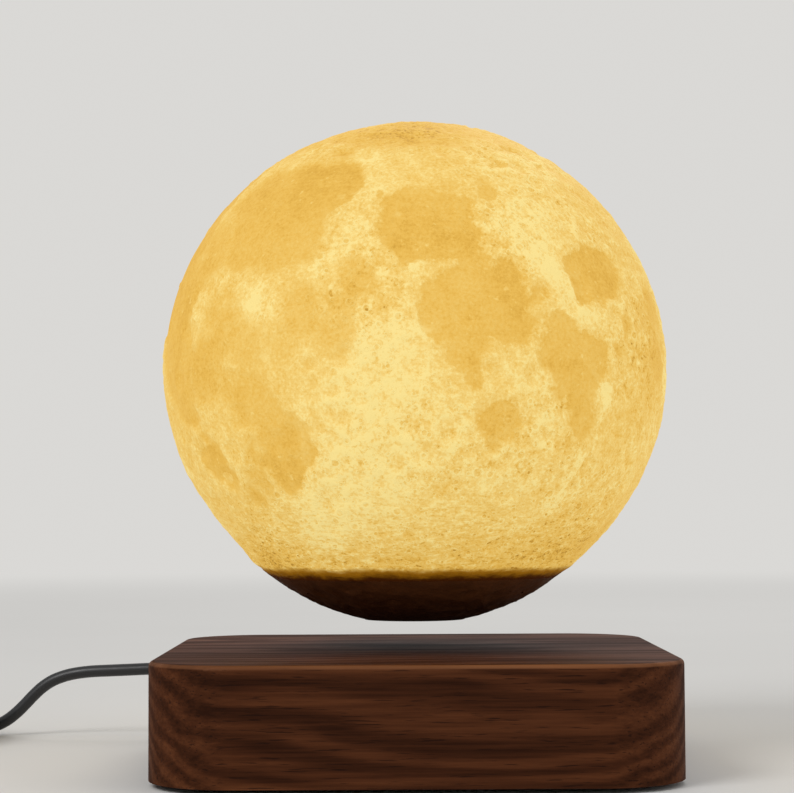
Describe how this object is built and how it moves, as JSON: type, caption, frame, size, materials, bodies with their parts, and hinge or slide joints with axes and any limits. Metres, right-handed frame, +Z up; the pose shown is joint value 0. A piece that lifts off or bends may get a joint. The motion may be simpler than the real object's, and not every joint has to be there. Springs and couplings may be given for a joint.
{
  "type": "levitating moon lamp",
  "caption": "Printed moon globe, lit from inside, that floats and turns above a square wooden base with round corners, with its lead and wall adapter.",
  "frame": {"origin": "on the table, under the middle of the wooden base, where the feet stand", "axes": "+Z up; -Y towards the side that the picture shows; +X to that side's right; the jack and lead are on the +Y side"},
  "size_m": [0.292, 0.161, 0.191],
  "materials": {
    "walnut": "oiled dark walnut, satin",
    "black_plastic": "moulded, fine texture",
    "foot_rubber": "soft, dull",
    "screw_steel": "zinc plated",
    "board_green": "solder mask over glass fibre",
    "ferrite": "sintered, dull grey",
    "magnet_nickel": "nickel plated",
    "copper": "enamelled copper wire",
    "core_iron": "turned",
    "bobbin_nylon": "natural nylon",
    "chip_black": "moulded epoxy",
    "capacitor_sleeve": "shrunk sleeve",
    "contact_gold": "gold plated",
    "moon_print": "layer printed, lit from inside",
    "cap_print": "layer printed, unlit",
    "white_plastic": "moulded",
    "led_lens": "phosphor under clear resin",
    "lead_pvc": "soft black PVC",
    "tie_strap": "woven hook-and-loop strap",
    "adapter_plastic": "moulded, fine texture",
    "pin_nickel": "nickel plated brass"
  },
  "bodies": {
    "base": {"base_shell": "walnut", "bottom_plate": "black_plastic", "rubber_feet": "foot_rubber", "plate_screws": "screw_steel", "levitation_board": "board_green", "magnet_frame": "black_plastic", "frame_screws": "screw_steel", "ring_magnet": "ferrite", "coil_cores": "core_iron", "coil_bobbins": "bobbin_nylon", "coil_windings": "copper", "sensor_header": "chip_black", "sensor_board": "board_green", "hall_sensors": "chip_black", "driver_chips": "chip_black", "capacitors": "capacitor_sleeve", "coil_plate": "ferrite", "transmitter_coil": "copper", "touch_pad": "copper", "touch_spring": "screw_steel", "power_jack": "black_plastic", "jack_nut": "pin_nickel", "jack_pin": "contact_gold", "jack_leads": "lead_pvc", "plug_barrel": "pin_nickel", "plug_body": "lead_pvc", "plug_relief": "lead_pvc", "power_lead": "lead_pvc", "lead_coil": "lead_pvc", "coil_tie": "tie_strap", "adapter_lead": "lead_pvc", "adapter_relief": "lead_pvc", "adapter_case": "adapter_plastic", "adapter_face": "adapter_plastic", "adapter_pins": "pin_nickel", "adapter_board": "board_green", "adapter_transformer": "copper", "adapter_capacitor": "capacitor_sleeve"},
    "float_magnet": {"float_magnet": "magnet_nickel"},
    "moon": {"globe_shell": "moon_print", "bottom_cap": "cap_print", "receiver_coil": "copper", "ferrite_sheet": "ferrite", "led_tray": "white_plastic", "tray_screws": "screw_steel", "light_board": "white_plastic", "leds": "led_lens", "receiver_parts": "chip_black", "receiver_leads": "copper"}
  },
  "joints": [
    {"name": "float_lift", "type": "slide", "parent": "base", "child": "float_magnet", "axis": [0, 0, 1], "range_m": [-0.008, 0.08], "stiffness_N_per_m": 75, "springref_m": 0.03587},
    {"name": "moon_spin", "type": "hinge", "parent": "float_magnet", "child": "moon", "pos_m": [0, 0, 0.116], "axis": [0, 0, 1], "continuous": true}
  ]
}
